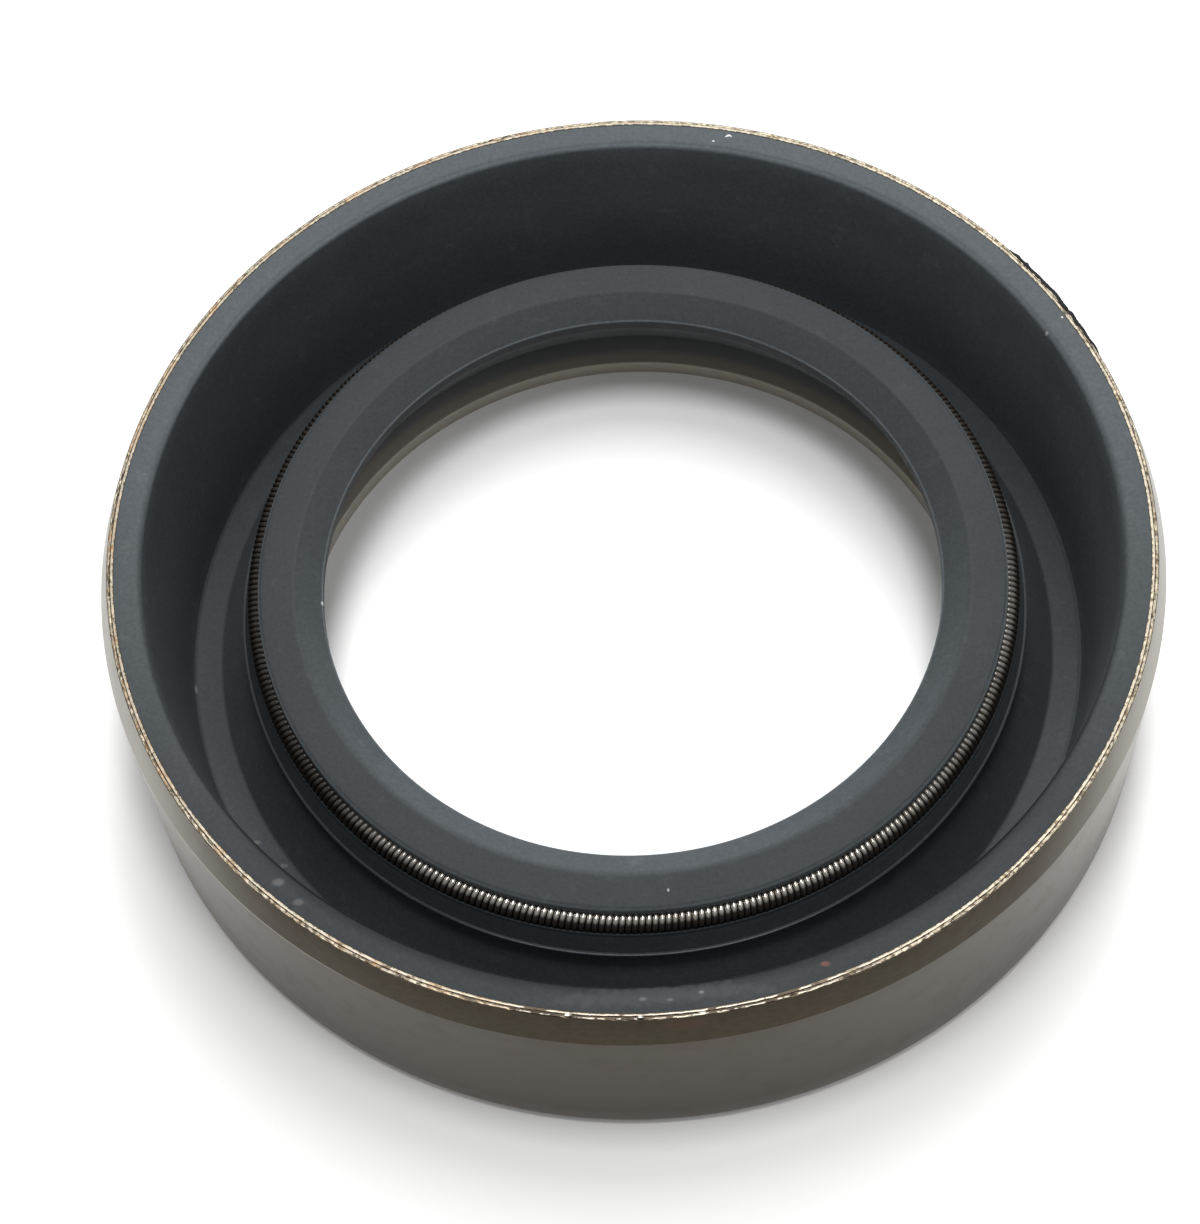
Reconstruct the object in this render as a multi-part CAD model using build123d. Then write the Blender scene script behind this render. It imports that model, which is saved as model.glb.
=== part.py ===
from build123d import *
import os
from math import atan2, cos, radians, tan

# Radial shaft seal: a pressed steel case, lined with one moulded rubber sealing
# element that carries the lip, and a garter spring in the groove round the lip.
# Millimetres.  Z is the axis of the shaft.  The flange of the case stands on
# z = 0, and the open end, with the spring, looks up.  Sections are drawn as
# (radius, height) and turned round the axis.

# ---- case ----------------------------------------------------------------------
HOUSING_BORE_D = 65.0       # ground outside, pressed into a bore of this size
SEAL_WIDTH = 15.0           # height of the case
SHEET = 1.1                 # thickness of the steel
LEAD_IN_LENGTH = 2.0        # cone at the open end that starts the case in its bore
LEAD_IN_STEP = 0.72         # how far the cone draws in at the edge
CASE_BEND_OUTSIDE = 0.9     # bend from the cylinder into the flange
CASE_BEND_INSIDE = 0.35
CASE_EDGE_ROUND = 0.12      # worn outer corner of the sheet's cut edge
FLANGE_HOLE_D = 43.8        # bare inner edge of the flange, clear of the shaft

# ---- rubber lining of the case -------------------------------------------------
EDGE_SETBACK = 0.05         # rubber below the sheet's cut edge
BAND_WIDTH = 1.65           # lining at the open end
BAND_ROUND = 0.5            # inner edge of the lining at the open end
WALL_DRAFT = 5.2            # degrees that the lining thickens towards the flange
FLOOR_LINING = 1.1          # rubber on the flange
FOOT_ROUND = 0.3            # foot of the wall
FLOOR_RING_WIDTH = 1.8      # flat ring from the foot of the wall to the web

# ---- lip -----------------------------------------------------------------------
LIP_D = 38.66               # free lip, for a 40 mm shaft
LIP_EDGE_HEIGHT = 9.42      # upper end of the band that touches the shaft
LIP_BAND = 0.7              # length of that band
OIL_SIDE_ANGLE = 33.0       # degrees from the flat top of the lip to its oil side
OIL_SIDE_RISE = 1.08        # height of the oil side
NOSE_FLAT_WIDTH = 2.31      # flat top of the lip
NOSE_ROUND = 0.3            # outer edge of that top
AIR_SIDE_ANGLE = 28.0       # degrees from the shaft to the air side of the lip
AIR_SIDE_LENGTH = 3.4       # air side, measured along the shaft
AIR_SIDE_ROUND = 0.5

# ---- garter spring and its groove ----------------------------------------------
COIL_D = 1.45               # outside of the coil
COIL_PAST_NOSE = 0.08       # middle of the coil outside the edge of the lip's top
COIL_BELOW_NOSE = 1.37      # middle of the coil below the lip's top
GROOVE_CLEARANCE = 0.02     # round bottom of the groove to the coil
FLANK_PAST_COIL = 0.05      # lower flank of the groove, out past the coil
FLANK_BELOW_COIL = 0.35     # edge of that flank, below the middle of the coil
LEDGE_WIDTH = 0.2           # ledge round the lip under the groove, where the mould parts
LEDGE_PAST_COIL = 0.64      # edge of the ledge, out past the coil
LEDGE_BELOW_COIL = 1.98     # ledge below the middle of the coil
LEDGE_ROUND = 0.1

# ---- web from the lip to the flange --------------------------------------------
WEB_THICKNESS = 1.5
WEB_INSIDE_LEDGE = 0.46     # upper end of the web, in from the edge of the ledge
WEB_BELOW_LEDGE = 1.75      # and down from it
WEB_TOP_ROUND = 1.2
WEB_FOOT_ROUND = 0.3
WEB_BACK_DROP = 0.9         # upper end of the web's air side, below its oil side
WEB_BACK_ROUND = 0.8

# ---- worked out ----------------------------------------------------------------
CASE_R = HOUSING_BORE_D / 2
CASE_INSIDE_R = CASE_R - SHEET
FLANGE_HOLE_R = FLANGE_HOLE_D / 2

BAND_R = CASE_INSIDE_R - BAND_WIDTH
BAND_Z = SEAL_WIDTH - EDGE_SETBACK
FLOOR_Z = SHEET + FLOOR_LINING
FOOT_R = BAND_R - (BAND_Z - FLOOR_Z) * tan(radians(WALL_DRAFT))
WEB_FOOT_R = FOOT_R - FLOOR_RING_WIDTH

LIP_R = LIP_D / 2
LIP_BAND_Z = LIP_EDGE_HEIGHT - LIP_BAND
NOSE_Z = LIP_EDGE_HEIGHT + OIL_SIDE_RISE
CREASE_R = LIP_R + OIL_SIDE_RISE / tan(radians(OIL_SIDE_ANGLE))
NOSE_R = CREASE_R + NOSE_FLAT_WIDTH
AIR_SIDE_R = LIP_R + AIR_SIDE_LENGTH * tan(radians(AIR_SIDE_ANGLE))
AIR_SIDE_Z = LIP_BAND_Z - AIR_SIDE_LENGTH

COIL_R = COIL_D / 2
SPRING_R = NOSE_R + COIL_PAST_NOSE
SPRING_Z = NOSE_Z - COIL_BELOW_NOSE
LEDGE_R = SPRING_R + COIL_R + LEDGE_PAST_COIL
LEDGE_Z = SPRING_Z - LEDGE_BELOW_COIL

WEB_TOP_R = LEDGE_R - WEB_INSIDE_LEDGE
WEB_TOP_Z = LEDGE_Z - WEB_BELOW_LEDGE
WEB_SLOPE = atan2(WEB_FOOT_R - WEB_TOP_R, WEB_TOP_Z - FLOOR_Z)
WEB_BACK_Z = WEB_TOP_Z - WEB_BACK_DROP


def web_back_r(z):
    """Radius at a height of the web's air side, which runs alongside its oil side."""
    oil_side_r = WEB_FOOT_R + (FLOOR_Z - z) * tan(WEB_SLOPE)
    return oil_side_r - WEB_THICKNESS / cos(WEB_SLOPE)


def section(*corners):
    """Closed section from (radius, height) corners; a third value rounds the corner."""
    face = make_face(Polyline(*[corner[:2] for corner in corners], close=True))
    for corner in corners:
        if len(corner) == 3:
            vertex = face.vertices().sort_by_distance(Vector(*corner[:2]))[0]
            face = fillet(vertex, corner[2])
    return face


def turned(face):
    """Solid of a section turned round the shaft's axis."""
    return revolve(Plane.XZ * face, Axis.Z)


def make_case():
    """Pressed cup: ground cylinder, lead-in cone at the open end, flange below."""
    return turned(section(
        (CASE_R, 0, CASE_BEND_OUTSIDE),
        (CASE_R, SEAL_WIDTH - LEAD_IN_LENGTH),
        (CASE_R - LEAD_IN_STEP, SEAL_WIDTH, CASE_EDGE_ROUND),
        (CASE_INSIDE_R, SEAL_WIDTH),
        (CASE_INSIDE_R, SHEET, CASE_BEND_INSIDE),
        (FLANGE_HOLE_R, SHEET),
        (FLANGE_HOLE_R, 0),
    ))


def make_sealing_element():
    """Lining of the case, web and lip, moulded as one, with the spring's groove."""
    moulding = section(
        # lining: band at the open end, drafted wall and flat ring
        (CASE_INSIDE_R, BAND_Z),
        (BAND_R, BAND_Z, BAND_ROUND),
        (FOOT_R, FLOOR_Z, FOOT_ROUND),
        # oil side of the web, ledge, and the groove's lower flank
        (WEB_FOOT_R, FLOOR_Z, WEB_FOOT_ROUND),
        (WEB_TOP_R, WEB_TOP_Z, WEB_TOP_ROUND),
        (LEDGE_R, LEDGE_Z, LEDGE_ROUND),
        (LEDGE_R - LEDGE_WIDTH, LEDGE_Z),
        (SPRING_R + COIL_R + FLANK_PAST_COIL, SPRING_Z - FLANK_BELOW_COIL),
        (NOSE_R, SPRING_Z),
        # lip: flat top, oil side, contact band, air side
        (NOSE_R, NOSE_Z, NOSE_ROUND),
        (CREASE_R, NOSE_Z),
        (LIP_R, LIP_EDGE_HEIGHT),
        (LIP_R, LIP_BAND_Z),
        (AIR_SIDE_R, AIR_SIDE_Z, AIR_SIDE_ROUND),
        # air side of the web down to the flange, and back along the case
        (web_back_r(WEB_BACK_Z), WEB_BACK_Z, WEB_BACK_ROUND),
        (web_back_r(SHEET), SHEET),
        (CASE_INSIDE_R, SHEET, CASE_BEND_INSIDE),
    )
    spring_seat = Pos(SPRING_R, SPRING_Z) * Circle(COIL_R + GROOVE_CLEARANCE)
    return turned(moulding - spring_seat)


def make_garter_spring():
    """Closed ring as thick as the coil, whose turns lie against each other."""
    return turned(Pos(SPRING_R, SPRING_Z) * Circle(COIL_R))


pieces = {
    "case": make_case(),
    "sealing_element": make_sealing_element(),
    "garter_spring": make_garter_spring(),
}

os.makedirs("parts", exist_ok=True)
for node, solid in pieces.items():
    export_step(solid, f"parts/{node}.step")
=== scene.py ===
import math

import bpy
import numpy as np
from mathutils import Matrix, Vector


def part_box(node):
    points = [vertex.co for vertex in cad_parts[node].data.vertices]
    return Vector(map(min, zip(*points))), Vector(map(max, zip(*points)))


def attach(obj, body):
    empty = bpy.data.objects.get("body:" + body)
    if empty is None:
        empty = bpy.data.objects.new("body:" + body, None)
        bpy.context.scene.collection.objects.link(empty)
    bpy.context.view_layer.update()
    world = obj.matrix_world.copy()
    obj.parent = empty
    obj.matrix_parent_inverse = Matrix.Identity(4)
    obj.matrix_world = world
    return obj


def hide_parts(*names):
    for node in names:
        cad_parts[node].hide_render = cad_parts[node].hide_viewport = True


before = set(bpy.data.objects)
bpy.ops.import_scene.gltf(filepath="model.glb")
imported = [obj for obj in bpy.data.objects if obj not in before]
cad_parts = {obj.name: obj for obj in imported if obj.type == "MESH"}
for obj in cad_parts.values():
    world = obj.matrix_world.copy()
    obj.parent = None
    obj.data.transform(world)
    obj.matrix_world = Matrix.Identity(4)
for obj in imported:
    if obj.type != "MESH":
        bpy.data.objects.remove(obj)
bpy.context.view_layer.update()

# Sizes below are millimetres, in the part's own frame: Z is the axis of the shaft, the
# flange stands on z = 0, and sections are (radius, height).
MM = 0.001

# ---- sizes taken from the solids -------------------------------------------------------


def node_size(node):
    """Largest radius, lowest and highest point of a turned node, in millimetres."""
    low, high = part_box(node)
    return tuple(round(value / MM, 3) for value in (high.x, low.z, high.z))


CASE_R, _, SEAL_WIDTH = node_size("case")
CASE_INSIDE_R, SHEET, BAND_Z = node_size("sealing_element")
SPRING_OUTSIDE_R, SPRING_LOW_Z, SPRING_TOP_Z = node_size("garter_spring")
COIL_R = (SPRING_TOP_Z - SPRING_LOW_Z) / 2
SPRING_R = SPRING_OUTSIDE_R - COIL_R
SPRING_Z = (SPRING_TOP_Z + SPRING_LOW_Z) / 2

# ---- case ------------------------------------------------------------------------------
FLANGE_HOLE_R = 21.9
LEAD_IN_LENGTH = 2.0
LEAD_IN_STEP = 0.72
CASE_BEND_OUTSIDE = 0.9
CASE_BEND_INSIDE = 0.35
CREST_VALLEY = 0.07                      # depth between the two crests of the worn cut edge
CASE_STEPS = 1344                        # faces round the axis
LEAD_IN_Z = SEAL_WIDTH - LEAD_IN_LENGTH
EDGE_R = CASE_R - LEAD_IN_STEP
INNER_CREST_R = CASE_INSIDE_R + 0.10
OUTER_CREST_R = EDGE_R - 0.06

# ---- rubber: lining --------------------------------------------------------------------
BAND_WIDTH = 1.65
BAND_ROUND = 0.5                         # inner edge of the lining at the open end
WALL_DRAFT = 5.2                         # degrees
FLOOR_LINING = 1.1
FOOT_ROUND = 0.3                         # foot of the wall
FLOOR_RING_WIDTH = 1.8
RUBBER_STEPS = 600                       # faces round the axis
BAND_R = CASE_INSIDE_R - BAND_WIDTH
FLOOR_Z = SHEET + FLOOR_LINING
FOOT_R = BAND_R - (BAND_Z - FLOOR_Z) * math.tan(math.radians(WALL_DRAFT))
WEB_FOOT_R = FOOT_R - FLOOR_RING_WIDTH

# ---- rubber: lip -----------------------------------------------------------------------
LIP_R = 19.33
LIP_EDGE_Z = 9.42
LIP_BAND = 0.7
OIL_SIDE_ANGLE = 33.0                    # degrees
OIL_SIDE_RISE = 1.08
NOSE_FLAT_WIDTH = 2.31                   # flat top of the lip
NOSE_ROUND = 0.3                         # outer edge of that top
CREASE_ROUND = 0.5                       # inner edge of that top
AIR_SIDE_ANGLE = 28.0                    # degrees
AIR_SIDE_LENGTH = 3.4
AIR_SIDE_ROUND = 0.5
LIP_BAND_Z = LIP_EDGE_Z - LIP_BAND
NOSE_Z = LIP_EDGE_Z + OIL_SIDE_RISE
CREASE_R = LIP_R + OIL_SIDE_RISE / math.tan(math.radians(OIL_SIDE_ANGLE))
NOSE_R = CREASE_R + NOSE_FLAT_WIDTH
AIR_SIDE_R = LIP_R + AIR_SIDE_LENGTH * math.tan(math.radians(AIR_SIDE_ANGLE))
AIR_SIDE_Z = LIP_BAND_Z - AIR_SIDE_LENGTH

# ---- rubber: spring's groove, ledge and web --------------------------------------------
GROOVE_CLEARANCE = 0.02                  # round bottom of the groove to the coil
FLANK_PAST_COIL = 0.05                   # edge of the groove's lower flank
FLANK_BELOW_COIL = 0.35
LEDGE_PAST_COIL = 0.64                   # ledge round the lip under the groove
LEDGE_BELOW_COIL = 1.98
LEDGE_WIDTH = 0.2
LEDGE_ROUND = 0.1
WEB_THICKNESS = 1.5
WEB_INSIDE_LEDGE = 0.46                  # upper end of the web, in and down from the ledge
WEB_BELOW_LEDGE = 1.75
WEB_TOP_ROUND = 1.2
WEB_FOOT_ROUND = 0.3
WEB_BACK_DROP = 0.9                      # upper end of the web's air side, below its oil side
WEB_BACK_ROUND = 0.8
SEAT_R = COIL_R + GROOVE_CLEARANCE
FLANK_R = SPRING_R + COIL_R + FLANK_PAST_COIL
FLANK_Z = SPRING_Z - FLANK_BELOW_COIL
LEDGE_R = SPRING_R + COIL_R + LEDGE_PAST_COIL
LEDGE_Z = SPRING_Z - LEDGE_BELOW_COIL
WEB_TOP_R = LEDGE_R - WEB_INSIDE_LEDGE
WEB_TOP_Z = LEDGE_Z - WEB_BELOW_LEDGE
WEB_SLOPE = math.atan2(WEB_FOOT_R - WEB_TOP_R, WEB_TOP_Z - FLOOR_Z)
WEB_BACK_Z = WEB_TOP_Z - WEB_BACK_DROP

# ---- garter spring ---------------------------------------------------------------------
TURNS = 385
WIRE_D = 0.36                            # a little under the pitch, so the turns show apart
STEPS_PER_TURN = 16
WIRE_SIDES = 8

# ---- trim that only shows on the surface -----------------------------------------------
FLASH_FROM, FLASH_TO = 19.4, 36.8        # degrees round the axis
FLASH_GAP = 26.1                         # where a nick goes through the flash, degrees
LINT_ANGLE, LINT_SPAN = 74.7, 0.85       # degrees
LINT_R = 30.91

# Wide tufts of the flash: angle and width in degrees, size in millimetres.
FLASH_TUFTS = ((35.6, 0.35, 0.07), (33.9, 0.25, 0.05))

# Nicks in the cut edge: angle and width in degrees, depth in millimetres.
EDGE_NICKS = ((-99.0, 0.25, 0.14), (-91.8, 0.22, 0.11), (FLASH_GAP, 0.5, 0.13), (61.0, 0.3, 0.08))

# ---- floor, camera and sky -------------------------------------------------------------
FLOOR_REACH = 600.0
FLOOR_DROP = 0.002                       # keeps the floor out of the flange's plane
CAMERA_AIM = Vector((0, 0, 14.81)) * MM
CAMERA_ELEVATION = 58.188                # degrees, as its three turns are
CAMERA_REACH = 162.516 * MM
CAMERA_YAW = 0.724
CAMERA_PITCH = -1.766
CAMERA_ROLL = 3.520
CAMERA_LENS = 78.71                      # millimetres, as the sensor's width is
CAMERA_SENSOR = 36.0
SKY_LEVEL = 0.41


def web_back_r(height):
    """Radius at a height of the web's air side, which runs alongside its oil side."""
    oil_side_r = WEB_FOOT_R + (FLOOR_Z - height) * math.tan(WEB_SLOPE)
    return oil_side_r - WEB_THICKNESS / math.cos(WEB_SLOPE)


# ---- surfaces --------------------------------------------------------------------------


def rounded(corners, arc_steps=7):
    """Outline of (radius, height[, round]) corners.  A round touches both sides at
    round / tan(half the corner's angle) from the corner, about a centre on the
    corner's bisector at round / sin(half the angle)."""
    spots = [np.array(corner[:2], float) for corner in corners]
    outline = []
    for i, corner in enumerate(corners):
        here = spots[i]
        if len(corner) == 2:
            outline.append(here[None])
            continue
        back = spots[i - 1] - here
        on = spots[(i + 1) % len(spots)] - here
        back, on = back / np.linalg.norm(back), on / np.linalg.norm(on)
        half = math.acos(np.clip(back @ on, -1, 1)) / 2
        middle = back + on
        centre = here + middle / np.linalg.norm(middle) * corner[2] / math.sin(half)
        start = here + back * corner[2] / math.tan(half) - centre
        end = here + on * corner[2] / math.tan(half) - centre
        turn = math.atan2(start[0] * end[1] - start[1] * end[0], start @ end)
        sweep = turn * np.linspace(0, 1, arc_steps)[:, None]
        across = np.array([-start[1], start[0]])
        outline.append(centre + start * np.cos(sweep) + across * np.sin(sweep))
    return np.concatenate(outline)


def stepped(outline, longest):
    """Closed outline with its long runs divided evenly, so that no run is over longest."""
    ends = np.roll(outline, -1, 0)
    counts = np.ceil(np.linalg.norm(ends - outline, axis=1) / longest).astype(int)
    counts = np.maximum(counts, 1)
    start, end = np.repeat(outline, counts, 0), np.repeat(ends, counts, 0)
    order = np.arange(counts.sum()) - np.repeat(np.cumsum(counts) - counts, counts)
    return start + (end - start) * (order / np.repeat(counts, counts))[:, None]


def closed_surface(name, places, sharp=32):
    """Piece whose surface closes on itself both ways: the face at (i, j) joins it to its
    neighbours (i, j+1), (i+1, j+1) and (i+1, j), and the last of each joins the first."""
    rows, columns = places.shape[:2]
    here = np.arange(rows * columns).reshape(rows, columns)
    beside, ahead = np.roll(here, -1, 1), np.roll(here, -1, 0)
    faces = np.stack([here, beside, np.roll(ahead, -1, 1), ahead], -1).reshape(-1, 4)
    return piece(name, places.reshape(-1, 3), faces, sharp)


def piece(name, places, faces, sharp=32):
    """Mesh object at the origin from places in millimetres and four-sided faces."""
    mesh = bpy.data.meshes.new(name)
    mesh.vertices.add(len(places))
    mesh.vertices.foreach_set("co", (places * MM).astype(np.float32).ravel())
    mesh.loops.add(faces.size)
    mesh.loops.foreach_set("vertex_index", faces.astype(np.int32).ravel())
    mesh.polygons.add(len(faces))
    mesh.polygons.foreach_set("loop_start", np.arange(0, faces.size, 4, dtype=np.int32))
    mesh.update(calc_edges=True)
    mesh.validate()
    mesh.shade_smooth()
    mesh.set_sharp_from_angle(angle=math.radians(sharp))
    thing = bpy.data.objects.new(name, mesh)
    bpy.context.scene.collection.objects.link(thing)
    return thing


def turned(outline, steps):
    """Places of an outline turned round Z: (r cos a, r sin a, z) at each of the steps."""
    angle = np.arange(steps) * 2 * math.pi / steps
    radius, height = outline[:, :1], outline[:, 1:]
    return np.stack([radius * np.cos(angle), radius * np.sin(angle),
                     np.broadcast_to(height, (len(outline), steps))], -1)


def wander(angle, seed, lowest, highest):
    """Smooth random course round the axis, about -1 to 1: a sum of whole-numbered waves
    with random phases and random shares."""
    chance = np.random.default_rng(seed)
    waves = np.arange(lowest, highest)
    phase = chance.uniform(0, 2 * math.pi, len(waves))
    share = chance.uniform(0.5, 1, len(waves))
    course = (share[:, None] * np.sin(waves[:, None] * angle + phase[:, None])).sum(0)
    return course / np.sqrt((share ** 2).sum() * 2)


def bump_at(angle, middle, width):
    """Bell curve over the angle round the axis, with its middle and width in degrees."""
    apart = (np.degrees(angle) - middle + 180) % 360 - 180
    return np.exp(-(apart / width) ** 2)


# ---- pieces ----------------------------------------------------------------------------


def steel_case():
    """Pressed cup turned from its section, with a cut edge worn into two uneven crests:
    each point near the edge sinks by a bell curve over its radius times a random course
    round the axis, and the nicks are bell curves both ways."""
    valley_r = (INNER_CREST_R + OUTER_CREST_R) / 2
    outline = stepped(rounded([
        (CASE_R, 0, CASE_BEND_OUTSIDE),
        (CASE_R, LEAD_IN_Z, 0.25),
        (EDGE_R + 0.02, SEAL_WIDTH - 0.06, 0.04),
        (OUTER_CREST_R + 0.02, SEAL_WIDTH, 0.03),
        (OUTER_CREST_R - 0.02, SEAL_WIDTH, 0.03),
        (valley_r, SEAL_WIDTH - CREST_VALLEY, 0.05),
        (INNER_CREST_R + 0.06, SEAL_WIDTH, 0.04),
        (CASE_INSIDE_R, SEAL_WIDTH - 0.02),
        (CASE_INSIDE_R, SHEET, CASE_BEND_INSIDE),
        (FLANGE_HOLE_R, SHEET, 0.1),
        (FLANGE_HOLE_R, 0),
    ], 5), 1.6)
    places = turned(outline, CASE_STEPS)
    angle = np.arange(CASE_STEPS) * 2 * math.pi / CASE_STEPS
    radius, height = outline[:, :1], outline[:, 1:]
    on_edge = np.clip((height - SEAL_WIDTH + 0.25) / 0.2, 0, 1)
    outer = on_edge * np.exp(-((radius - OUTER_CREST_R) / 0.06) ** 2)
    inner = on_edge * np.exp(-((radius - INNER_CREST_R) / 0.10) ** 2)
    outer_wear = 0.03 * (1 + wander(angle, 3, 60, 420)) + 0.02 * (1 + wander(angle, 4, 5, 40))
    inner_wear = 0.012 * (1 + wander(angle, 5, 40, 360))
    nicks = sum(depth * bump_at(angle, middle, width) for middle, width, depth in EDGE_NICKS)
    sink = outer * (outer_wear + nicks) + inner * (inner_wear + nicks * 0.7)
    places[..., 2] -= np.clip(sink, 0, 0.3)
    return closed_surface("steel_case", places)


def spring_seat():
    """Arc of the groove's round bottom, from where it leaves the groove's lower flank,
    round below and inside the coil, to the underside of the lip's top."""
    centre = np.array((SPRING_R, SPRING_Z))
    away = np.array((FLANK_R, FLANK_Z)) - centre
    along = np.array((NOSE_R, SPRING_Z)) - centre - away
    # The flank meets the seat where a t^2 + b t + c = 0, with t from 0 at its outer edge.
    a, b, c = along @ along, 2 * along @ away, away @ away - SEAT_R ** 2
    start = away + along * (-b - math.sqrt(b * b - 4 * a * c)) / (2 * a)
    end_rise = math.sqrt(SEAT_R ** 2 - (NOSE_R - SPRING_R) ** 2)
    first = math.atan2(start[1], start[0])
    last = math.atan2(end_rise, NOSE_R - SPRING_R) - 2 * math.pi
    angle = np.linspace(first, last, 22)
    return [tuple(spot) for spot in centre + SEAT_R * np.stack([np.cos(angle), np.sin(angle)], -1)]


def rubber_section():
    """Outline of the rubber, from the case round the lining, web, ledge, groove and lip,
    and back along the air side."""
    return rounded([
        (CASE_INSIDE_R, BAND_Z, 0.06),
        (BAND_R, BAND_Z, BAND_ROUND),
        (FOOT_R, FLOOR_Z, FOOT_ROUND),
        (WEB_FOOT_R, FLOOR_Z, WEB_FOOT_ROUND),
        (WEB_TOP_R, WEB_TOP_Z, WEB_TOP_ROUND),
        (LEDGE_R, LEDGE_Z, LEDGE_ROUND),
        (LEDGE_R - LEDGE_WIDTH, LEDGE_Z, 0.04),
        (FLANK_R, FLANK_Z, 0.04),
        *spring_seat(),
        (NOSE_R, NOSE_Z, NOSE_ROUND),
        (CREASE_R, NOSE_Z, CREASE_ROUND),
        (LIP_R, LIP_EDGE_Z, 0.05),
        (LIP_R, LIP_BAND_Z, 0.08),
        (AIR_SIDE_R, AIR_SIDE_Z, AIR_SIDE_ROUND),
        (web_back_r(WEB_BACK_Z), WEB_BACK_Z, WEB_BACK_ROUND),
        (web_back_r(SHEET), SHEET),
        (CASE_INSIDE_R, SHEET, CASE_BEND_INSIDE),
    ])


def rubber_lining_and_lip():
    """Lining, web and lip as one moulding, turned from its section."""
    outline = stepped(rubber_section(), 1.3)
    return closed_surface("rubber_lining_and_lip", turned(outline, RUBBER_STEPS))


def coiled_spring():
    """Wire wound on a ring.  At an angle a round the shaft the coil has turned by TURNS * a,
    so the wire's middle is at radius R + c cos(turn) and height Z + c sin(turn), and its
    round section lies across the wire's direction."""
    steps = TURNS * STEPS_PER_TURN
    around = np.arange(steps) * 2 * math.pi / steps
    wound = around * TURNS
    coil = COIL_R - WIRE_D / 2
    outward = np.stack([np.cos(around), np.sin(around), 0 * around], -1)
    onward = np.stack([-np.sin(around), np.cos(around), 0 * around], -1)
    upward = np.array((0.0, 0.0, 1.0))
    cosine, sine = np.cos(wound)[:, None], np.sin(wound)[:, None]
    from_middle = outward * cosine + upward * sine
    middle = outward * SPRING_R + upward * SPRING_Z + from_middle * coil
    direction = TURNS * coil * (upward * cosine - outward * sine) + onward * (SPRING_R + coil * cosine)
    direction /= np.linalg.norm(direction, axis=1, keepdims=True)
    across = np.cross(direction, from_middle)
    side = np.arange(WIRE_SIDES) * 2 * math.pi / WIRE_SIDES
    places = middle[:, None] + WIRE_D / 2 * (
        from_middle[:, None] * np.cos(side)[:, None] + across[:, None] * np.sin(side)[:, None])
    return closed_surface("coiled_spring", places, sharp=180)


def strip(name, line, half_width, half_height, sides=8):
    """Closed strip along a line: an oval across the line, with its half width and half height
    given at each point, and both ends filled with faces between opposite corners."""
    ahead = np.gradient(line, axis=0)
    ahead /= np.linalg.norm(ahead, axis=1, keepdims=True)
    across = np.cross(ahead, (0, 0, 1.0))
    across /= np.linalg.norm(across, axis=1, keepdims=True)
    up = np.cross(across, ahead)
    side = np.arange(sides) * 2 * math.pi / sides
    sideways = across[:, None] * (half_width[:, None] * np.cos(side))[..., None]
    upwards = up[:, None] * (half_height[:, None] * np.sin(side))[..., None]
    places = line[:, None] + sideways + upwards
    here = np.arange(len(line) * sides).reshape(len(line), sides)
    beside = np.roll(here, -1, 1)
    walls = np.stack([here[:-1], here[1:], beside[1:], beside[:-1]], -1).reshape(-1, 4)
    corner = np.arange(sides // 2 - 1)
    end = np.stack([corner, corner + 1, sides - 2 - corner, sides - 1 - corner], -1)
    faces = np.concatenate([walls, end, end[:, ::-1] + here[-1, 0]])
    return piece(name, places.reshape(-1, 3), faces, sharp=60)


def rubber_flash():
    """Ragged strip of flash left on the outer corner of the cut edge: its line wanders about
    the corner, and its width is a random course, with wider tufts and a gap, that comes to
    nothing at both ends."""
    points = 260
    around = np.radians(np.linspace(FLASH_FROM, FLASH_TO, points))
    share = np.linspace(0, 1, points)
    taper = np.sqrt(np.sin(share * math.pi))
    tuft = sum(size * bump_at(around, middle, width) for middle, width, size in FLASH_TUFTS)
    gap = 1 - 0.75 * bump_at(around, FLASH_GAP, 0.3)
    half_width = (0.12 + 0.05 * wander(around, 11, 60, 500) ** 2 + tuft) * gap * taper + 0.008
    radius = EDGE_R + 0.01 + 0.03 * wander(around, 12, 20, 160) + 0.5 * tuft
    half_height = np.full_like(around, 0.045) * (0.4 + 0.6 * taper)
    height = SEAL_WIDTH - half_height
    line = np.stack([radius * np.cos(around), radius * np.sin(around), height], -1)
    return strip("rubber_flash", line, half_width, half_height)


def lint():
    """Shred of fluff on the band: a short bent thread, thick in the middle."""
    share = np.linspace(0, 1, 24)
    around = np.radians(LINT_ANGLE + (share - 0.5) * LINT_SPAN)
    radius = LINT_R + 0.10 * np.sin(share * 4.2)
    half_width = 0.012 + 0.075 * np.sin(share * math.pi)
    half_height = 0.010 + 0.024 * np.sin(share * math.pi)
    height = np.full_like(share, BAND_Z + 0.012)
    line = np.stack([radius * np.cos(around), radius * np.sin(around), height], -1)
    return strip("lint", line, half_width, half_height)


# ---- material helpers ------------------------------------------------------------------


def put(tree, kind, inputs=(), **settings):
    """Adds a node, sets it, and gives each input its value or the socket that feeds it."""
    node = tree.nodes.new(kind)
    for name, value in settings.items():
        setattr(node, name, value)
    for key, value in dict(inputs).items():
        if isinstance(value, bpy.types.NodeSocket):
            tree.links.new(value, node.inputs[key])
        else:
            node.inputs[key].default_value = value
    return node


def maths(tree, operation, first, second=0.0, clamp=False):
    """Output of a Math node."""
    return put(tree, "ShaderNodeMath", {0: first, 1: second}, operation=operation,
               use_clamp=clamp).outputs[0]


def vector_maths(tree, operation, first, second):
    """Vector output of a Vector Math node."""
    return put(tree, "ShaderNodeVectorMath", {0: first, 1: second}, operation=operation).outputs[0]


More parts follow.
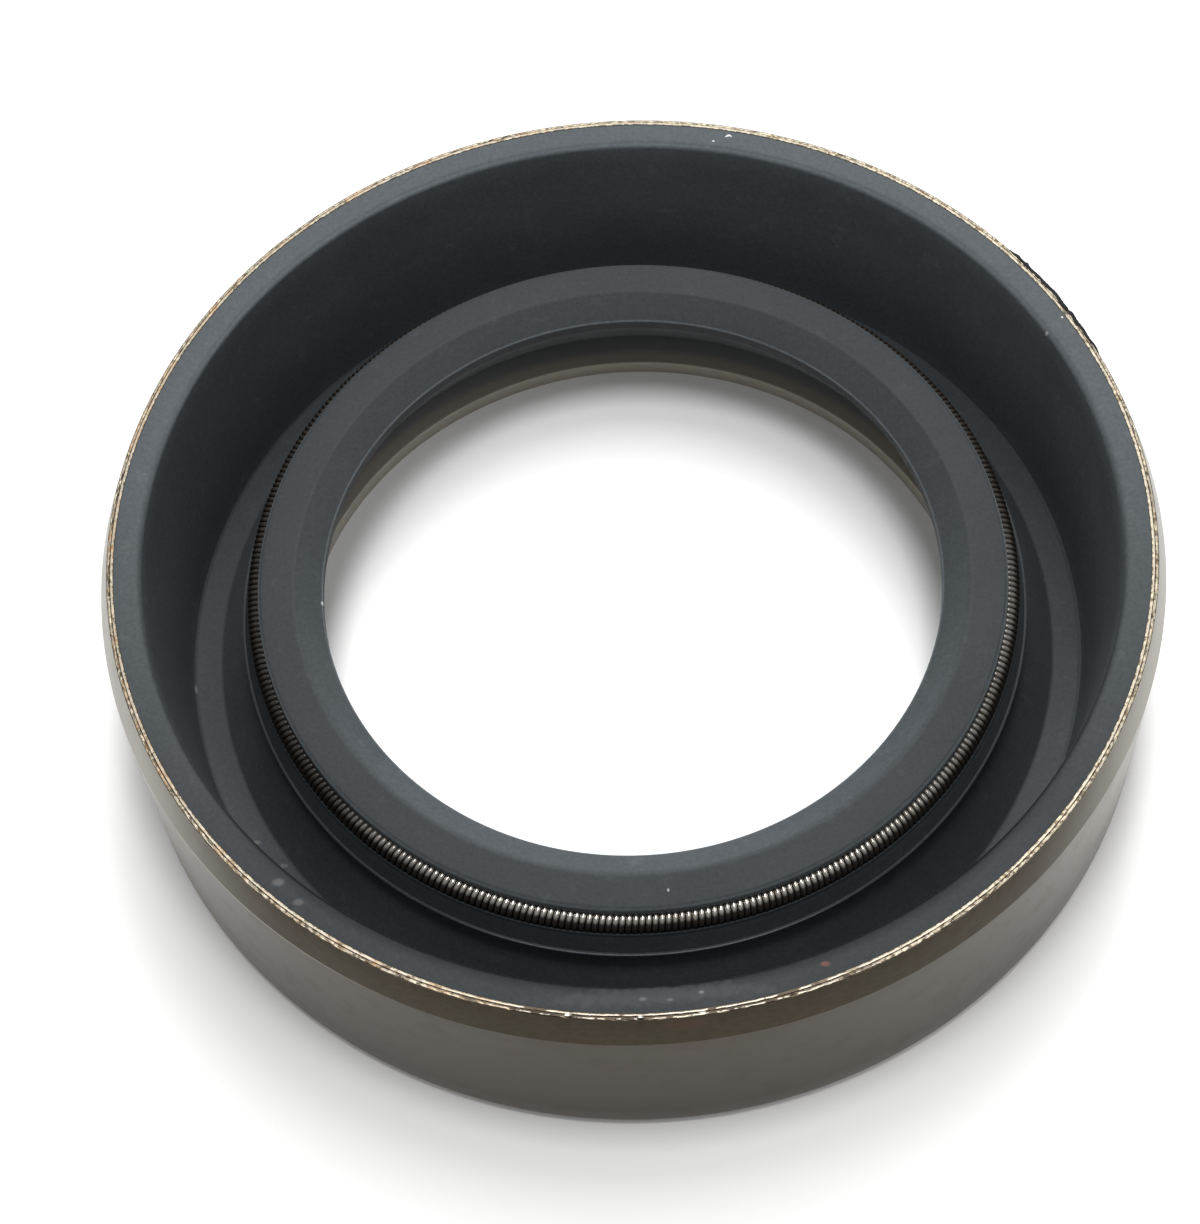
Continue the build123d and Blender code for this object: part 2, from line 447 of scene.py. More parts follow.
def ramp(tree, value, low, high, to_low=0.0, to_high=1.0):
    """Smooth step from to_low to to_high while the value goes from low to high."""
    return put(tree, "ShaderNodeMapRange", {"Value": value, "From Min": low, "From Max": high,
                                            "To Min": to_low, "To Max": to_high},
               interpolation_type="SMOOTHSTEP").outputs["Result"]


def times(tree, *factors):
    """Product of masks and numbers."""
    product = factors[0]
    for factor in factors[1:]:
        product = maths(tree, "MULTIPLY", product, factor)
    return product


def stripe(tree, value, low, rise, fall, high):
    """Mask that is 1 while the value is from rise to fall, and 0 under low and over high."""
    return times(tree, ramp(tree, value, low, rise), ramp(tree, value, high, fall))


def from_axis(tree, place):
    """Place moved to height 0, and its distance from the axis."""
    flat = vector_maths(tree, "MULTIPLY", place, (1, 1, 0))
    return flat, put(tree, "ShaderNodeVectorMath", {0: flat}, operation="LENGTH").outputs["Value"]


def blend(tree, mask, under, over):
    """Colour that goes from under to over with the mask."""
    node = put(tree, "ShaderNodeMix", {"Factor": mask}, data_type="RGBA")
    for socket, value in ((node.inputs[6], under), (node.inputs[7], over)):
        if isinstance(value, bpy.types.NodeSocket):
            tree.links.new(value, socket)
        else:
            socket.default_value = (*value, 1)
    return node.outputs[2]


def noise(tree, place, detail=3.0, roughness=0.55):
    """Cloud noise, one cloud to a unit of place."""
    return put(tree, "ShaderNodeTexNoise", {"Vector": place, "Scale": 1.0, "Detail": detail,
                                            "Roughness": roughness}).outputs[0]


def unevenness(tree, place, size):
    """Cloud noise of that size, less its middle value."""
    return maths(tree, "SUBTRACT", noise(tree, vector_maths(tree, "DIVIDE", place, (size,) * 3)), 0.5)


def effect(name, inputs, outputs):
    """New node group with named inputs and their usual values, and named outputs."""
    group = bpy.data.node_groups.new(name, "ShaderNodeTree")
    for label, usual in inputs.items():
        kind = "NodeSocketVector" if isinstance(usual, tuple) else "NodeSocketFloat"
        socket = group.interface.new_socket(label, in_out="INPUT", socket_type=kind)
        socket.default_value = usual
    for label in outputs:
        group.interface.new_socket(label, in_out="OUTPUT", socket_type="NodeSocketFloat")
    return group, group.nodes.new("NodeGroupInput").outputs, group.nodes.new("NodeGroupOutput").inputs


def use(tree, group, **inputs):
    """Outputs of an effect placed in a material.  Names are the group's, in lower case."""
    node = tree.nodes.new("ShaderNodeGroup")
    node.node_tree = group
    for socket in node.inputs:
        value = inputs.get(socket.name.lower().replace(" ", "_"))
        if isinstance(value, bpy.types.NodeSocket):
            tree.links.new(value, socket)
        elif value is not None:
            socket.default_value = value
    return node.outputs


def finish(name):
    """New material, its tree, its Principled shader and Object coordinates in millimetres."""
    material = bpy.data.materials.new(name)
    material.use_nodes = True
    tree = material.node_tree
    where = put(tree, "ShaderNodeTexCoord").outputs["Object"]
    place = vector_maths(tree, "MULTIPLY", where, (1 / MM, 1 / MM, 1 / MM))
    return material, tree, tree.nodes["Principled BSDF"], place


# ---- effects shared by the materials ---------------------------------------------------


def grain_effect():
    """Grain: noise over the place divided by the grain's size along x, y and z."""
    group, given, out = effect("grain", {"Place": (0, 0, 0), "Size": (1, 1, 1)}, ("Height",))
    fine = vector_maths(group, "DIVIDE", given["Place"], given["Size"])
    group.links.new(noise(group, fine, 4.0, 0.6), out["Height"])
    return group


def patches_effect():
    """Soft patches: cloud noise cut by a threshold with a soft edge.  Other moves the clouds,
    so that two patterns of one size differ."""
    group, given, out = effect(
        "patches", {"Place": (0, 0, 0), "Size": 3.0, "Cover": 0.5, "Softness": 0.1, "Other": 0.0},
        ("Mask",))
    step = put(group, "ShaderNodeCombineXYZ", {0: given["Other"], 1: given["Other"], 2: given["Other"]})
    moved = vector_maths(group, "ADD", given["Place"], step.outputs[0])
    size = put(group, "ShaderNodeCombineXYZ", {0: given["Size"], 1: given["Size"], 2: given["Size"]})
    clouds = noise(group, vector_maths(group, "DIVIDE", moved, size.outputs[0]), 4.0, 0.6)
    middle = maths(group, "SUBTRACT", 1.0, given["Cover"])
    low = maths(group, "SUBTRACT", middle, given["Softness"])
    high = maths(group, "ADD", middle, given["Softness"])
    group.links.new(ramp(group, clouds, low, high), out["Mask"])
    return group


def ring_line_effect():
    """Line round the axis: where the radius, shifted by noise, is within Width of Radius,
    broken where a second noise is under Gaps."""
    group, given, out = effect(
        "ring_line", {"Place": (0, 0, 0), "Radius": 31.0, "Width": 0.1, "Raggedness": 0.05,
                      "Gaps": 0.0, "Gap Size": 1.0}, ("Mask",))
    flat, radius = from_axis(group, given["Place"])
    ragged = times(group, unevenness(group, flat, 0.35), given["Raggedness"])
    radius = maths(group, "ADD", radius, ragged)
    off = maths(group, "ABSOLUTE", maths(group, "SUBTRACT", radius, given["Radius"]))
    line = ramp(group, off, given["Width"], times(group, given["Width"], 0.5))
    size = put(group, "ShaderNodeCombineXYZ", {0: given["Gap Size"], 1: given["Gap Size"], 2: 1.0})
    spread = noise(group, vector_maths(group, "DIVIDE", flat, size.outputs[0]), 2.0, 0.5)
    whole = ramp(group, spread, maths(group, "SUBTRACT", given["Gaps"], 0.03),
                 maths(group, "ADD", given["Gaps"], 0.03))
    group.links.new(times(group, line, whole), out["Mask"])
    return group


def spot_effect():
    """Uneven spot: 1 round Middle and 0 from Spread on along each axis, with noise added to
    the distance."""
    group, given, out = effect(
        "spot", {"Place": (0, 0, 0), "Middle": (0, 0, 0), "Spread": (1, 1, 1), "Unevenness": 0.6},
        ("Mask",))
    away = vector_maths(group, "SUBTRACT", given["Place"], given["Middle"])
    away = vector_maths(group, "DIVIDE", away, given["Spread"])
    distance = put(group, "ShaderNodeVectorMath", {0: away}, operation="LENGTH").outputs["Value"]
    ragged = times(group, unevenness(group, given["Place"], 0.6), given["Unevenness"])
    distance = maths(group, "ADD", distance, ragged)
    group.links.new(ramp(group, distance, 1.0, 0.3), out["Mask"])
    return group


GRAIN = grain_effect()
PATCHES = patches_effect()
RING_LINE = ring_line_effect()
SPOT = spot_effect()


def at(radius, angle, height):
    """Place at a radius, an angle round the axis in degrees and a height, in millimetres."""
    return (radius * math.cos(math.radians(angle)), radius * math.sin(math.radians(angle)), height)


# ---- colours of the finishes: linear red, green and blue -------------------------------
GROUND_WARM, GROUND_OLIVE = (0.043, 0.030, 0.013), (0.035, 0.031, 0.012)
GROUND_BROWN, GROUND_MOTTLE = (0.052, 0.029, 0.016), (0.027, 0.020, 0.010)
# The second colour here is a painted reflection of the white surroundings on the case's sides.
PRESSED_STEEL, PAINTED_SIDE_REFLECTION = (0.047, 0.040, 0.030), (0.27, 0.26, 0.225)
# The first colour here is painted light on the bend at the foot of the case.
PAINTED_BEND_LIGHT, BEND_LINE_BROWN = (0.15, 0.135, 0.11), (0.13, 0.070, 0.036)
# The first colour here is a painted highlight on the corner of the lead-in cone.
PAINTED_CORNER_HIGHLIGHT, STAIN = (0.34, 0.32, 0.28), (0.075, 0.040, 0.029)
EDGE_GREY, EDGE_CREAM, EDGE_COPPER = (0.075, 0.060, 0.042), (0.27, 0.237, 0.178), (0.21, 0.130, 0.075)
EDGE_DARK, NICK = (0.050, 0.040, 0.030), (0.42, 0.40, 0.35)
CREST_BRIGHT, CREST_COPPER, CREST_FADED = (0.34, 0.315, 0.265), (0.27, 0.19, 0.12), (0.200, 0.185, 0.150)
FLANGE_DUST, HOLE_DUST = (0.225, 0.225, 0.230), (0.320, 0.295, 0.245)
RUBBER_DARK, RUBBER_BLOOM = (0.0262, 0.0303, 0.0330), (0.0295, 0.0340, 0.0366)
RUBBER_SCUFF, RUBBER_HAZE = (0.056, 0.060, 0.062), (0.100, 0.105, 0.107)
TORN_BLACK, TORN_DUST = (0.014, 0.014, 0.015), (0.05, 0.048, 0.045)
WIRE_BRIGHT, WIRE_WARM = (0.62, 0.59, 0.54), (0.50, 0.45, 0.40)
# The first colour here is painted shade on the wire; the second is a brown film deepened by painted shade.
WIRE_PAINTED_SHADE, WIRE_FILM_AND_SHADE = (0.017, 0.015, 0.013), (0.013, 0.010, 0.008)
FLUFF_DARK, FLUFF_PALE = (0.42, 0.42, 0.41), (0.80, 0.80, 0.78)
PAPER = (0.95, 0.95, 0.945)

BRIGHT_NICKS = (-99.0, -91.8, -85.6)     # bright places in the cut edge, degrees round the axis

# Specks of dust and scuffs on the rubber: place, reach along x, y and z, and colour.
SPECKS = (
    (at(30.56, -91.5, BAND_Z), (0.30, 0.16, 0.3), (0.11, 0.11, 0.11)),
    (at(30.69, -88.7, BAND_Z), (0.25, 0.12, 0.3), (0.10, 0.10, 0.10)),
    (at(30.45, -85.4, BAND_Z), (0.22, 0.15, 0.3), (0.13, 0.13, 0.13)),
    (at(30.59, -72.2, BAND_Z), (0.35, 0.20, 0.3), (0.12, 0.06, 0.045)),
    (at(30.60, -133.4, BAND_Z), (0.50, 0.32, 0.3), (0.085, 0.085, 0.085)),
    (at(30.80, -130.2, BAND_Z), (0.42, 0.28, 0.3), (0.080, 0.080, 0.080)),
    (at(31.16, 25.7, BAND_Z), (0.10, 0.10, 0.3), (0.75, 0.74, 0.72)),
    (at(30.38, 76.4, BAND_Z), (0.12, 0.08, 0.3), (0.70, 0.70, 0.68)),
    (at(29.18, 82.6, 8.7), (1.1, 0.5, 0.14), (0.11, 0.11, 0.11)),
    (at(27.90, -150.9, FLOOR_Z), (0.40, 0.22, 0.3), (0.100, 0.100, 0.100)),
    (at(27.30, -146.0, FLOOR_Z), (0.35, 0.20, 0.3), (0.095, 0.095, 0.095)),
    (at(22.17, -87.4, NOSE_Z), (0.10, 0.15, 0.3), (0.30, 0.30, 0.29)),
    (at(19.35, -177.5, LIP_EDGE_Z), (0.14, 0.20, 0.3), (0.40, 0.40, 0.39)),
    (at(29.75, 24.9, 14.7), (0.16, 0.16, 0.3), (0.30, 0.30, 0.30)),
    (at(28.62, -175.0, FLOOR_Z + 0.1), (0.2, 0.5, 0.25), (0.13, 0.13, 0.13)),
)


# ---- materials -------------------------------------------------------------------------


def outside_steel(tree, place, side, height, brown):
    """Colour of the case's outside: mottled where it is ground, plainer on the pressed cone,
    painted paler towards both sides as a painted reflection of the white surroundings, with a
    bend at the foot painted paler as painted light, a brown line over the bend, a painted
    highlight along the corner at the left of the cone and a stain at the front."""
    olive = use(tree, PATCHES, place=place, size=4.0, cover=0.5, softness=0.12)["Mask"]
    mottle = use(tree, GRAIN, place=place, size=(0.55, 0.55, 0.22))["Height"]
    stain = use(tree, SPOT, place=place, middle=at(31.9, -87.5, 14.3), spread=(1.8, 0.6, 0.8))["Mask"]
    sideways = maths(tree, "ABSOLUTE", side)
    cone = ramp(tree, height, LEAD_IN_Z - 0.03, LEAD_IN_Z + 0.03)
    # Painted reflection: the case is painted paler towards both sides, more on the cone, where it would
    # mirror the white surroundings.
    side_reflection = maths(tree, "ADD", ramp(tree, sideways, 20.0, 31.0, 0.0, 0.48),
                   times(tree, cone, ramp(tree, sideways, 24.0, 31.0, 0.0, 0.4)))
    from_corner = maths(tree, "ABSOLUTE", maths(tree, "SUBTRACT", height, LEAD_IN_Z))
    # Painted highlight along the corner between the cone and the ground band, at the left.
    corner = times(tree, ramp(tree, from_corner, 0.08, 0.03), ramp(tree, side, -12.0, -24.0))

    colour = blend(tree, olive, GROUND_WARM, GROUND_OLIVE)
    colour = blend(tree, times(tree, brown, 0.40), colour, GROUND_BROWN)
    colour = blend(tree, times(tree, cone, 0.8), colour, PRESSED_STEEL)
    colour = blend(tree, ramp(tree, mottle, 0.35, 0.65, 0.0, 0.35), colour, GROUND_MOTTLE)
    colour = blend(tree, side_reflection, colour, PAINTED_SIDE_REFLECTION)
    # Painted light: the bend at the foot is painted paler.
    colour = blend(tree, ramp(tree, height, 0.76, 0.60), colour, PAINTED_BEND_LIGHT)
    # A brown line along the top of the bend.
    colour = blend(tree, times(tree, stripe(tree, height, 0.70, 0.76, 0.84, 0.92), 0.7), colour, BEND_LINE_BROWN)
    colour = blend(tree, times(tree, corner, 0.6), colour, PAINTED_CORNER_HIGHLIGHT)
    return blend(tree, times(tree, stain, 0.3), colour, STAIN)


def worn_edge(tree, place, side, depth, edge, colour):
    """Lays the worn cut edge over a colour: speckled cream, grey and copper at the sides and
    the back, dark at the front, with a bright broken line on each crest and bright nicks."""
    sideways = maths(tree, "ABSOLUTE", side)
    copper = use(tree, PATCHES, place=place, size=1.1, cover=0.48, softness=0.08, other=80.0)["Mask"]
    copper = times(tree, copper, ramp(tree, side, 5.0, -18.0, 0.15, 0.9))
    speckle = use(tree, GRAIN, place=place, size=(0.30, 0.30, 0.30))["Height"]
    beside = maths(tree, "MAXIMUM", ramp(tree, sideways, 6.0, 16.0), ramp(tree, depth, -20.0, 0.0))
    worn = blend(tree, ramp(tree, speckle, 0.42, 0.58), EDGE_GREY, EDGE_CREAM)
    worn = blend(tree, times(tree, copper, 0.7), worn, EDGE_COPPER)
    worn = blend(tree, beside, EDGE_DARK, worn)
    colour = blend(tree, edge, colour, worn)

    inner = use(tree, RING_LINE, place=place, radius=INNER_CREST_R, width=0.05, raggedness=0.12,
                gaps=0.42, gap_size=1.2)["Mask"]
    outer = use(tree, RING_LINE, place=place, radius=OUTER_CREST_R, width=0.045, raggedness=0.12,
                gaps=0.50, gap_size=0.7)["Mask"]
    faded = maths(tree, "MAXIMUM", ramp(tree, depth, -27.0, -12.0),
                  ramp(tree, sideways, 6.0, 20.0, 0.0, 0.5))
    crest = blend(tree, copper, CREST_BRIGHT, CREST_COPPER)
    crest = blend(tree, faded, crest, CREST_FADED)
    colour = blend(tree, times(tree, maths(tree, "MAXIMUM", inner, outer), edge), colour, crest)
    for angle in BRIGHT_NICKS:
        nick = use(tree, SPOT, place=place, middle=at(31.58, angle, SEAL_WIDTH - 0.06),
                   spread=(0.26, 0.11, 0.2), unevenness=0.9)["Mask"]
        colour = blend(tree, nick, colour, NICK)
    return colour


def ground_steel():
    """Dark satin steel of the case: ground round the outside, as pressed on the lead-in
    cone, worn bare along the cut edge, and under dust where the web shelters the flange."""
    material, tree, shader, place = finish("ground_steel")
    side, depth, height = put(tree, "ShaderNodeSeparateXYZ", {0: place}).outputs
    radius = from_axis(tree, place)[1]
    marks = use(tree, GRAIN, place=place, size=(2.5, 2.5, 0.05))["Height"]
    brown = use(tree, PATCHES, place=place, size=2.2, cover=0.42, softness=0.10, other=40.0)["Mask"]
    edge = ramp(tree, height, SEAL_WIDTH - 0.11, SEAL_WIDTH - 0.05)
    sheltered = ramp(tree, radius, WEB_FOOT_R + 0.5, WEB_FOOT_R)
    by_hole = ramp(tree, radius, FLANGE_HOLE_R + 1.3, FLANGE_HOLE_R + 0.6)

    colour = outside_steel(tree, place, side, height, brown)
    colour = worn_edge(tree, place, side, depth, edge, colour)
    colour = blend(tree, sheltered, colour, blend(tree, by_hole, FLANGE_DUST, HOLE_DUST))
    rough = maths(tree, "MAXIMUM", ramp(tree, brown, 0, 1, 0.33, 0.36), times(tree, edge, 0.45))
    tree.links.new(colour, shader.inputs["Base Color"])
    tree.links.new(maths(tree, "SUBTRACT", 1.0, sheltered), shader.inputs["Metallic"])
    tree.links.new(rough, shader.inputs["Roughness"])
    surface = put(tree, "ShaderNodeBump", {"Height": marks, "Strength": 0.25, "Distance": 0.01 * MM})
    tree.links.new(surface.outputs[0], shader.inputs["Normal"])
    return material


def painted_face_light(tree, place):
    """Painted light and shade of the rubber: 1, and a gain on each face of the moulding that
    paints in the light, shade and highlights of that face.  A face is told from the others by its
    radius and height, and its gain may change round the seal."""
    side, depth, height = put(tree, "ShaderNodeSeparateXYZ", {0: place}).outputs
    radius = from_axis(tree, place)[1]
    under_ledge = ramp(tree, height, LEDGE_Z - 0.03, LEDGE_Z - 0.10)
    at_ledge = stripe(tree, height, LEDGE_Z - 0.10, LEDGE_Z - 0.05, LEDGE_Z + 0.02, LEDGE_Z + 0.1)
    over_ledge = ramp(tree, height, LEDGE_Z + 0.02, LEDGE_Z + 0.1)
    over_lip_edge = ramp(tree, height, LIP_EDGE_Z - 0.1, LIP_EDGE_Z)
    lip_side = stripe(tree, radius, NOSE_R + 0.5, NOSE_R + 0.6, LEDGE_R + 0.4, LEDGE_R + 0.6)

    band = ramp(tree, height, BAND_Z - 0.16, BAND_Z - 0.05)
    band_side = times(tree, ramp(tree, radius, BAND_R + 0.9, BAND_R + 0.3),
                      ramp(tree, height, BAND_Z - 0.6, BAND_Z - 0.3))
    band_round = maths(tree, "SUBTRACT", ramp(tree, height, BAND_Z - 0.5, BAND_Z - 0.2), band)
    wall = times(tree, ramp(tree, radius, FOOT_R - 0.3, FOOT_R - 0.2),
                 stripe(tree, height, FLOOR_Z, FLOOR_Z + 0.2, BAND_Z - 0.5, BAND_Z - 0.2))
    ring = times(tree, ramp(tree, radius, WEB_FOOT_R - 0.15, WEB_FOOT_R + 0.05),
                 ramp(tree, height, FLOOR_Z + 0.2, FLOOR_Z))
    web = times(tree, under_ledge,
                stripe(tree, radius, NOSE_R - 1.0, NOSE_R - 0.8, WEB_FOOT_R - 0.15, WEB_FOOT_R + 0.05))
    ledge = times(tree, ramp(tree, radius, LEDGE_R - 0.11, LEDGE_R - 0.06), at_ledge, lip_side)
    flank = times(tree, over_ledge, lip_side)
    neck = times(tree, ramp(tree, height, NOSE_Z, NOSE_Z - 0.15),
                 stripe(tree, radius, NOSE_R - 0.25, NOSE_R - 0.1, NOSE_R + 0.4, NOSE_R + 0.5))
    oil_side = times(tree, ramp(tree, radius, CREASE_R + 0.3, CREASE_R - 0.3), over_lip_edge)
    lip_edge = times(tree, ramp(tree, radius, LIP_R + 0.12, LIP_R + 0.05), over_lip_edge)
    air_side = times(tree, ramp(tree, radius, NOSE_R - 0.8, NOSE_R - 1.0),
                     ramp(tree, height, LIP_EDGE_Z - 0.05, LIP_EDGE_Z - 0.15))

    # Painted light on the web under the ledge, where the ledge shades it, less of it at the right.
    web_painted_light = times(tree, ramp(tree, height, 4.0, 6.4, 0.26, 1.6), ramp(tree, side, 8.0, 22.0, 1.0, 0.35))
    # Each gain paints light or shade on its face: painted sheen on the band towards the back and on the oil
    # side towards the front, painted shade on the band's front sides and on the air side, painted
    # highlights on the band's round, the ledge and the lip edge, painted light on the wall, floor ring,
    # web, lower flank and the lip's outer neck, and painted shade high on the flank.
    painted_light = 1.0
    for face, gain in (
            (band, ramp(tree, depth, -26.0, 12.0, 0.0, 1.45)),
            (band_side, ramp(tree, depth, -14.0, -26.0, 0.0, -0.45)),
            (band_round, ramp(tree, depth, -24.0, 32.0, -0.5, 3.2)),
            (wall, ramp(tree, side, -30.0, 10.0, 0.75, 1.75)),
            (ring, ramp(tree, depth, -14.0, -4.0, 0.44, 0.05)),
            (web, web_painted_light),
            (ledge, ramp(tree, depth, -24.2, -21.0, 4.6, 0.6)),
            (flank, ramp(tree, height, FLANK_Z - 0.3, FLANK_Z, 0.85, -0.3)),
            (neck, 2.4),
            (oil_side, ramp(tree, depth, -21.0, 8.0, 1.43, 0.16)),
            (lip_edge, 1.3),
            (air_side, -0.40)):
        painted_light = maths(tree, "ADD", painted_light, times(tree, face, gain))
    return painted_light


def moulded_rubber():
    """Dark nitrile rubber with a matt, slightly bloomed skin.  Its light and shade are painted
    in for each face of the moulding, strongly so as painted highlights on the rounds and the
    ledge, and dust and scuffs lie on the faces that look up."""
    material, tree, shader, place = finish("moulded_rubber")
    skin = use(tree, GRAIN, place=place, size=(0.25, 0.25, 0.25))["Height"]
    bloom = use(tree, PATCHES, place=place, size=7.0, cover=0.5, softness=0.2)["Mask"]
    scuffs = use(tree, PATCHES, place=place, size=1.1, cover=0.36, softness=0.06, other=15.0)["Mask"]
    haze = use(tree, SPOT, place=place, middle=at(30.35, -90.0, BAND_Z), spread=(8.0, 0.75, 0.4),
               unevenness=1.6)["Mask"]
    painted_light = times(tree, painted_face_light(tree, place), ramp(tree, skin, 0.3, 0.7, 0.90, 1.10))

    colour = blend(tree, bloom, RUBBER_DARK, RUBBER_BLOOM)
    colour = blend(tree, times(tree, scuffs, 0.2), colour, RUBBER_SCUFF)
    # The rubber's colour is scaled by the painted light and shade of its faces.
    with_painted_light = put(tree, "ShaderNodeVectorMath", {0: colour, "Scale": painted_light}, operation="SCALE")
    colour = blend(tree, times(tree, haze, 0.22), with_painted_light.outputs[0], RUBBER_HAZE)
    for middle, spread, tint in SPECKS:
        speck = use(tree, SPOT, place=place, middle=middle, spread=spread)["Mask"]
        colour = blend(tree, speck, colour, tint)
    tree.links.new(colour, shader.inputs["Base Color"])
    tree.links.new(ramp(tree, bloom, 0, 1, 0.60, 0.68), shader.inputs["Roughness"])
    shader.inputs["Specular IOR Level"].default_value = 0.2
    surface = put(tree, "ShaderNodeBump", {"Height": skin, "Strength": 0.5, "Distance": 0.04 * MM})
    tree.links.new(surface.outputs[0], shader.inputs["Normal"])
    return material


def torn_rubber():
    """Black torn edge of the flash, and the grey dust caught on it."""
    material, tree, shader, place = finish("torn_rubber")
    torn = use(tree, GRAIN, place=place, size=(0.12, 0.12, 0.12))["Height"]
    dust = use(tree, PATCHES, place=place, size=0.5, cover=0.3, softness=0.08)["Mask"]
    colour = blend(tree, times(tree, dust, 0.5), TORN_BLACK, TORN_DUST)
    tree.links.new(colour, shader.inputs["Base Color"])
    shader.inputs["Roughness"].default_value = 0.75
    shader.inputs["Specular IOR Level"].default_value = 0.2
    surface = put(tree, "ShaderNodeBump", {"Height": torn, "Strength": 0.6, "Distance": 0.03 * MM})
    tree.links.new(surface.outputs[0], shader.inputs["Normal"])
    return material


def drawn_wire():
    """Drawn spring wire: bright on the tops of the turns along the front, darkened low in the
    groove by a brown film together with painted shade, and darkened round the sides and the
    back by painted shade, a little less at the right."""
    material, tree, shader, place = finish("drawn_wire")
    side, depth, height = put(tree, "ShaderNodeSeparateXYZ", {0: place}).outputs
    drawn = use(tree, GRAIN, place=place, size=(0.3, 0.3, 0.3))["Height"]
    # Low in the groove the wire is darkened, partly a brown film and partly painted shade of the trough.
    low = ramp(tree, height, SPRING_Z + 0.70, SPRING_Z + 0.46)
    # Painted shade round the sides and the back of the spring, a little less at the right.
    less_shade_right = ramp(tree, side, 4.0, 18.0, 1.0, 0.80)
    behind = ramp(tree, depth, -6.0, 4.0, 0.0, 0.2)
    side_shade = times(tree, ramp(tree, depth, -23.0, -14.0),
                 maths(tree, "ADD", less_shade_right, behind, clamp=True))
    tint = use(tree, PATCHES, place=place, size=1.5, cover=0.45, softness=0.15)["Mask"]
    colour = blend(tree, tint, WIRE_BRIGHT, WIRE_WARM)
    colour = blend(tree, times(tree, side_shade, 0.97), colour, WIRE_PAINTED_SHADE)
    colour = blend(tree, times(tree, low, 0.97), colour, WIRE_FILM_AND_SHADE)
    bare = ramp(tree, maths(tree, "MAXIMUM", low, side_shade), 0.0, 1.0, 1.0, 0.15)
    tree.links.new(colour, shader.inputs["Base Color"])
    tree.links.new(bare, shader.inputs["Metallic"])
    shader.inputs["Roughness"].default_value = 0.24
    shader.inputs["Specular IOR Level"].default_value = 0.15
    surface = put(tree, "ShaderNodeBump", {"Height": drawn, "Strength": 0.15, "Distance": 0.01 * MM})
    tree.links.new(surface.outputs[0], shader.inputs["Normal"])
    return material


def pale_fluff():
    """Pale grey fluff."""
    material, tree, shader, place = finish("pale_fluff")
    fibres = use(tree, GRAIN, place=place, size=(0.08, 0.03, 0.05))["Height"]
    colour = blend(tree, fibres, FLUFF_DARK, FLUFF_PALE)
    tree.links.new(colour, shader.inputs["Base Color"])
    shader.inputs["Roughness"].default_value = 0.9
    return material


def floor_paper():
    """Plain white paper."""
    material = bpy.data.materials.new("floor_paper")
    material.use_nodes = True
    shader = material.node_tree.nodes["Principled BSDF"]
    shader.inputs["Base Color"].default_value = (*PAPER, 1)
    shader.inputs["Roughness"].default_value = 1.0
    shader.inputs["Specular IOR Level"].default_value = 0.0
    return material


# ---- the seal --------------------------------------------------------------------------


def place_piece(thing, material, slot, *nodes):
    """Gives a piece its material and body, and hides the nodes that it stands for. The slot is not used."""
    thing.data.materials.append(material)
    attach(thing, "root")
    if nodes:
        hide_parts(*nodes)


place_piece(steel_case(), ground_steel(), "case_steel", "case")
place_piece(rubber_lining_and_lip(), moulded_rubber(), "seal_rubber", "sealing_element")
place_piece(coiled_spring(), drawn_wire(), "spring_steel", "garter_spring")
place_piece(rubber_flash(), torn_rubber(), "seal_rubber")
place_piece(lint(), pale_fluff(), "seal_rubber")


# ---- floor, light and camera -----------------------------------------------------------


def floor():
    """Sheet of white paper under the seal: a square with its middle on the axis."""
    corners = FLOOR_REACH * np.array([(-1, -1), (1, -1), (1, 1), (-1, 1)])
    places = np.column_stack([corners, np.full(4, -FLOOR_DROP)])
    sheet = piece("floor", places, np.array([[0, 1, 2, 3]]))
    sheet.data.materials.append(floor_paper())


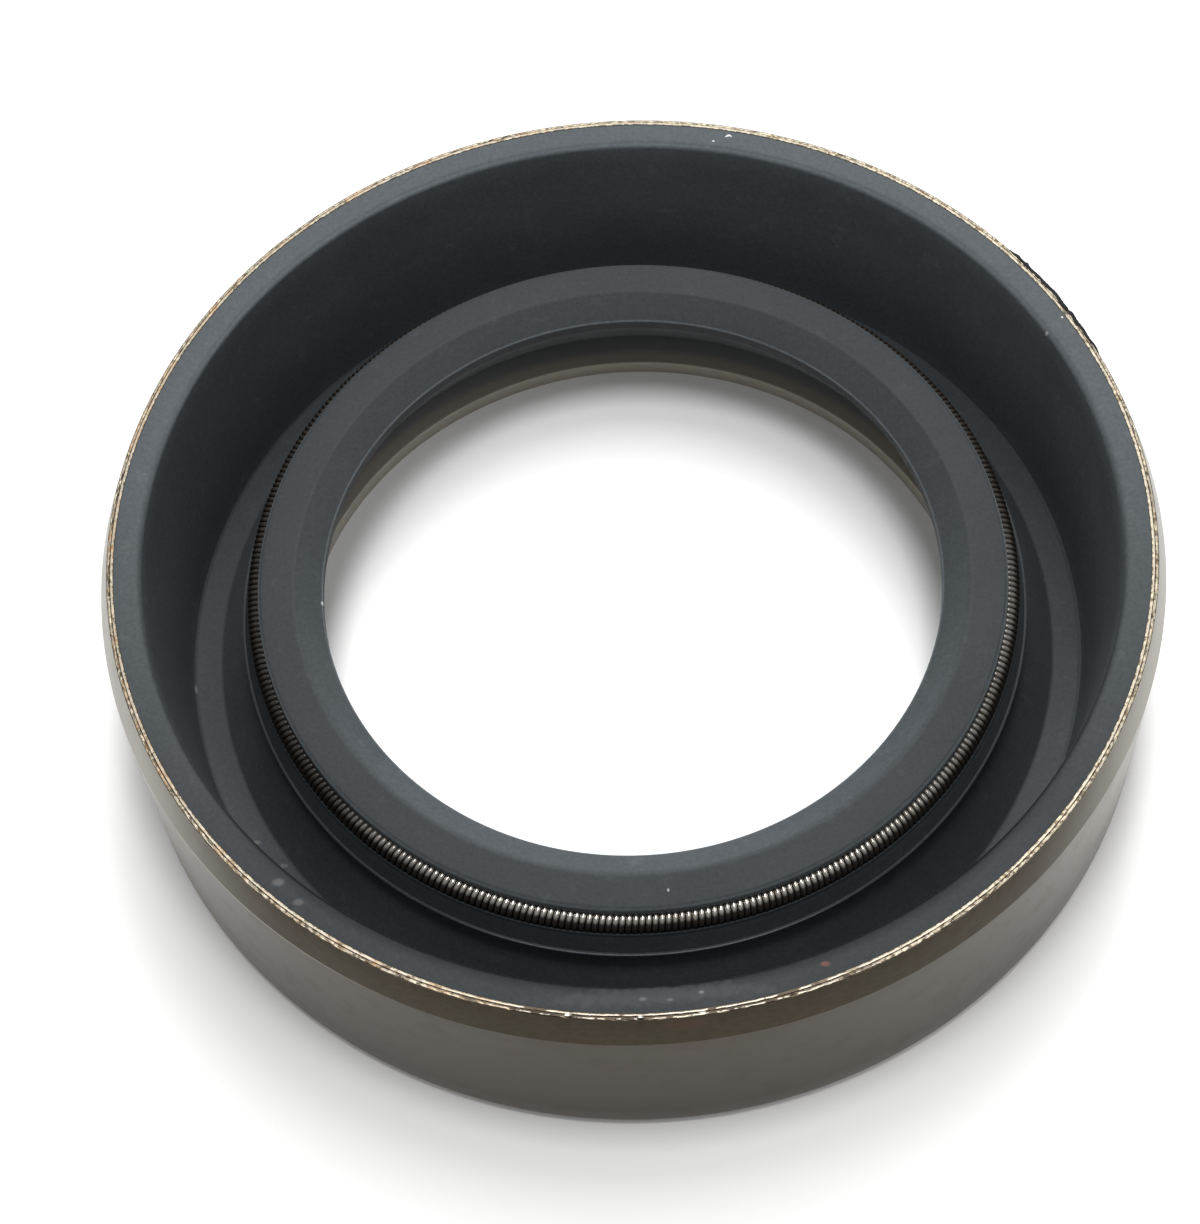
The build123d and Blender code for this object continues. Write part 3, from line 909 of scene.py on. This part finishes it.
def soft_light(name, place, width, length, watts):
    """Oblong lamp that faces the seal.  Place, width and length are metres."""
    data = bpy.data.lights.new(name, "AREA")
    data.shape = "RECTANGLE"
    data.size = width
    data.size_y = length
    data.energy = watts
    lamp = bpy.data.objects.new(name, data)
    lamp.location = place
    lamp.rotation_euler = (-Vector(place)).to_track_quat("-Z", "Y").to_euler()
    bpy.context.scene.collection.objects.link(lamp)


def sky(level):
    """Even white surroundings."""
    world = bpy.data.worlds.new("surroundings")
    world.use_nodes = True
    world.node_tree.nodes["Background"].inputs["Color"].default_value = (1, 1, 1, 1)
    world.node_tree.nodes["Background"].inputs["Strength"].default_value = level
    bpy.context.scene.world = world


def camera():
    """Camera over the front of the seal, aimed at the middle of the rim and then turned by
    its own yaw, pitch and roll."""
    rise = math.radians(CAMERA_ELEVATION)
    place = CAMERA_AIM + Vector((0, -math.cos(rise), math.sin(rise))) * CAMERA_REACH
    ahead = (CAMERA_AIM - place).normalized()
    right = Vector((1, 0, 0))
    up = right.cross(ahead)
    yaw = Matrix.Rotation(math.radians(CAMERA_YAW), 3, up)
    right, ahead = yaw @ right, yaw @ ahead
    pitch = Matrix.Rotation(math.radians(CAMERA_PITCH), 3, right)
    up, ahead = pitch @ up, pitch @ ahead
    roll = Matrix.Rotation(math.radians(CAMERA_ROLL), 3, ahead)
    right, up = roll @ right, roll @ up
    turn = Matrix((right, up, -ahead)).transposed()
    data = bpy.data.cameras.new("camera")
    data.lens = CAMERA_LENS
    data.sensor_width = CAMERA_SENSOR
    data.clip_start = 0.01
    thing = bpy.data.objects.new("camera", data)
    thing.matrix_world = Matrix.Translation(place) @ turn.to_4x4()
    bpy.context.scene.collection.objects.link(thing)
    bpy.context.scene.camera = thing


floor()
soft_light("back_light", (0.035, 0.25, 0.43), 0.14, 0.38, 1.95)
soft_light("top_light", (0.0, -0.02, 0.50), 0.12, 0.12, 1.05)
soft_light("right_light", (0.32, 0.0, 0.38), 0.35, 0.35, 0.33)
sky(SKY_LEVEL)
camera()
bpy.context.scene.view_settings.view_transform = "Standard"
